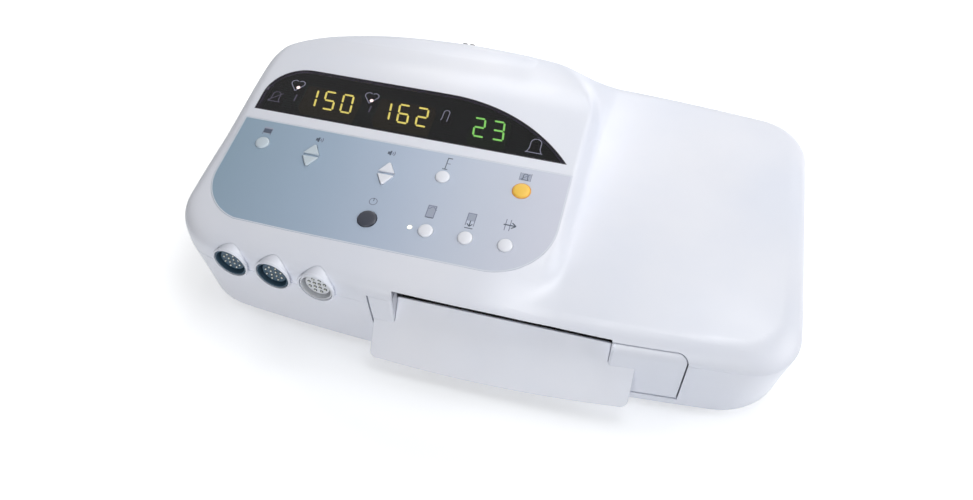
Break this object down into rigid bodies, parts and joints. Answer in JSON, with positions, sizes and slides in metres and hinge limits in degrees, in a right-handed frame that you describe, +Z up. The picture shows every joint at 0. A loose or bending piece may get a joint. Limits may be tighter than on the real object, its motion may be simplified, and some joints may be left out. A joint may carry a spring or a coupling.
{
  "type": "fetal monitor",
  "caption": "Bench-top fetal heart monitor: low two-part case with raised control deck, dark display window, membrane keys, front sockets and a sliding drawer recorder for folded chart paper",
  "frame": {"origin": "on the surface that the feet stand on, under the middle of the outer box", "axes": "+X to the reader's right along the longest side, -Y the front with the sockets and drawer, +Z up"},
  "size_m": [0.45, 0.289, 0.1018],
  "materials": {
    "bar_aluminium": "plain extrusion",
    "black_plastic": "fine-textured black moulding",
    "board_green": "green solder mask",
    "bronze": "sintered bronze and brass",
    "case_white": "fine-textured off-white moulding",
    "chart_paper": "folded thermal paper",
    "contact_brass": "gilt contacts",
    "digit_amber": "lit amber segments on a grey block",
    "digit_green": "lit green segments on a grey block",
    "foot_rubber": "matt black rubber",
    "gear_nylon": "natural nylon",
    "head_ceramic": "glazed ceramic strip",
    "key_black": "satin black",
    "key_grey": "satin pale grey",
    "key_white": "satin white",
    "key_yellow": "satin yellow",
    "lamp_amber": "clear amber",
    "lens_black": "smoked glossy window",
    "magnet_black": "ferrite catch",
    "mat_silicone": "translucent grey silicone",
    "motor_steel": "zinc-plated can",
    "overlay_blue": "satin printed film, blue-grey fading to lavender",
    "rail_steel": "folded zinc-plated sheet",
    "roller_rubber": "ground black rubber",
    "screw_steel": "bright plated steel",
    "shaft_steel": "ground steel",
    "socket_blue": "dark blue-grey moulding",
    "socket_white": "off-white moulding",
    "speaker_black": "black cone and basket",
    "transformer_iron": "varnished laminations and winding",
    "tray_plastic": "grey moulding"
  },
  "bodies": {
    "case": {"upper_case": "case_white", "lower_case": "case_white", "rubber_feet": "foot_rubber", "case_screws": "screw_steel", "display_lens": "lens_black", "control_overlay": "overlay_blue", "record_lamp": "lamp_amber", "key_mat": "mat_silicone", "key_board": "board_green", "display_board": "board_green", "digits_heart_rate_1": "digit_amber", "digits_heart_rate_2": "digit_amber", "digits_contraction": "digit_green", "status_lamps": "lamp_amber", "board_screws": "screw_steel", "socket_collars": "case_white", "ultrasound_socket_1": "socket_blue", "ultrasound_socket_2": "socket_blue", "contraction_socket": "socket_white", "socket_pins": "contact_brass", "socket_board": "board_green", "drawer_rails": "rail_steel", "catch_magnet": "magnet_black", "stepper_motor": "motor_steel", "recorder_frame": "rail_steel", "print_head": "head_ceramic", "head_bar": "bar_aluminium", "main_board": "board_green", "preamp_shield": "rail_steel", "power_board": "board_green", "transformer": "transformer_iron", "heat_sink": "bar_aluminium", "loudspeaker": "speaker_black", "rear_panel": "rail_steel", "power_inlet": "black_plastic", "data_ports": "black_plastic", "equipotential_stud": "screw_steel", "cable_cleat": "black_plastic"},
    "drawer": {"drawer_front": "case_white", "drawer_tray": "tray_plastic", "paper_chute": "case_white", "paper_pack": "chart_paper", "catch_plate": "rail_steel", "roller_bushes": "bronze"},
    "platen": {"platen_roller": "roller_rubber", "roller_shaft": "shaft_steel", "roller_gear": "gear_nylon"},
    "motor_rotor": {"motor_pinion": "bronze"},
    "fuse_holder": {"fuse_carrier": "black_plastic"},
    "alarm_silence_key": {"alarm_silence_key": "key_yellow"},
    "power_key": {"power_key": "key_black"},
    "setup_key": {"setup_key": "key_white"},
    "zero_key": {"zero_key": "key_white"},
    "record_key": {"record_key": "key_white"},
    "paper_feed_key": {"paper_feed_key": "key_white"},
    "event_mark_key": {"event_mark_key": "key_white"},
    "volume_up_key_1": {"volume_up_key_1": "key_grey"},
    "volume_down_key_1": {"volume_down_key_1": "key_grey"},
    "volume_up_key_2": {"volume_up_key_2": "key_grey"},
    "volume_down_key_2": {"volume_down_key_2": "key_grey"}
  },
  "joints": [
    {"name": "alarm_silence_key_press", "type": "slide", "parent": "case", "child": "alarm_silence_key", "axis": [0, 0.1426, -0.9898], "range_m": [0, 0.0008], "stiffness_N_per_m": 1500},
    {"name": "power_key_press", "type": "slide", "parent": "case", "child": "power_key", "axis": [0, 0.1426, -0.9898], "range_m": [0, 0.0008], "stiffness_N_per_m": 1500},
    {"name": "setup_key_press", "type": "slide", "parent": "case", "child": "setup_key", "axis": [0, 0.1426, -0.9898], "range_m": [0, 0.0008], "stiffness_N_per_m": 1500},
    {"name": "zero_key_press", "type": "slide", "parent": "case", "child": "zero_key", "axis": [0, 0.1426, -0.9898], "range_m": [0, 0.0008], "stiffness_N_per_m": 1500},
    {"name": "record_key_press", "type": "slide", "parent": "case", "child": "record_key", "axis": [0, 0.1426, -0.9898], "range_m": [0, 0.0008], "stiffness_N_per_m": 1500},
    {"name": "paper_feed_key_press", "type": "slide", "parent": "case", "child": "paper_feed_key", "axis": [0, 0.1426, -0.9898], "range_m": [0, 0.0008], "stiffness_N_per_m": 1500},
    {"name": "event_mark_key_press", "type": "slide", "parent": "case", "child": "event_mark_key", "axis": [0, 0.1426, -0.9898], "range_m": [0, 0.0008], "stiffness_N_per_m": 1500},
    {"name": "volume_up_key_1_press", "type": "slide", "parent": "case", "child": "volume_up_key_1", "axis": [0, 0.1426, -0.9898], "range_m": [0, 0.0008], "stiffness_N_per_m": 1500},
    {"name": "volume_down_key_1_press", "type": "slide", "parent": "case", "child": "volume_down_key_1", "axis": [0, 0.1426, -0.9898], "range_m": [0, 0.0008], "stiffness_N_per_m": 1500},
    {"name": "volume_up_key_2_press", "type": "slide", "parent": "case", "child": "volume_up_key_2", "axis": [0, 0.1426, -0.9898], "range_m": [0, 0.0008], "stiffness_N_per_m": 1500},
    {"name": "volume_down_key_2_press", "type": "slide", "parent": "case", "child": "volume_down_key_2", "axis": [0, 0.1426, -0.9898], "range_m": [0, 0.0008], "stiffness_N_per_m": 1500},
    {"name": "drawer_slide", "type": "slide", "parent": "case", "child": "drawer", "axis": [0, -1, 0], "range_m": [0, 0.095]},
    {"name": "platen_spin", "type": "hinge", "parent": "drawer", "child": "platen", "pos_m": [0, -0.104, 0.0515], "axis": [1, 0, 0], "continuous": true},
    {"name": "motor_spin", "type": "hinge", "parent": "case", "child": "motor_rotor", "pos_m": [0.11, -0.08885, 0.0515], "axis": [1, 0, 0], "continuous": true},
    {"name": "fuse_holder_slide", "type": "slide", "parent": "case", "child": "fuse_holder", "axis": [0, 1, 0], "range_m": [0, 0.014]}
  ],
  "couplings": [
    {"joint": "motor_spin", "follows": "platen_spin", "ratio": -2}
  ]
}
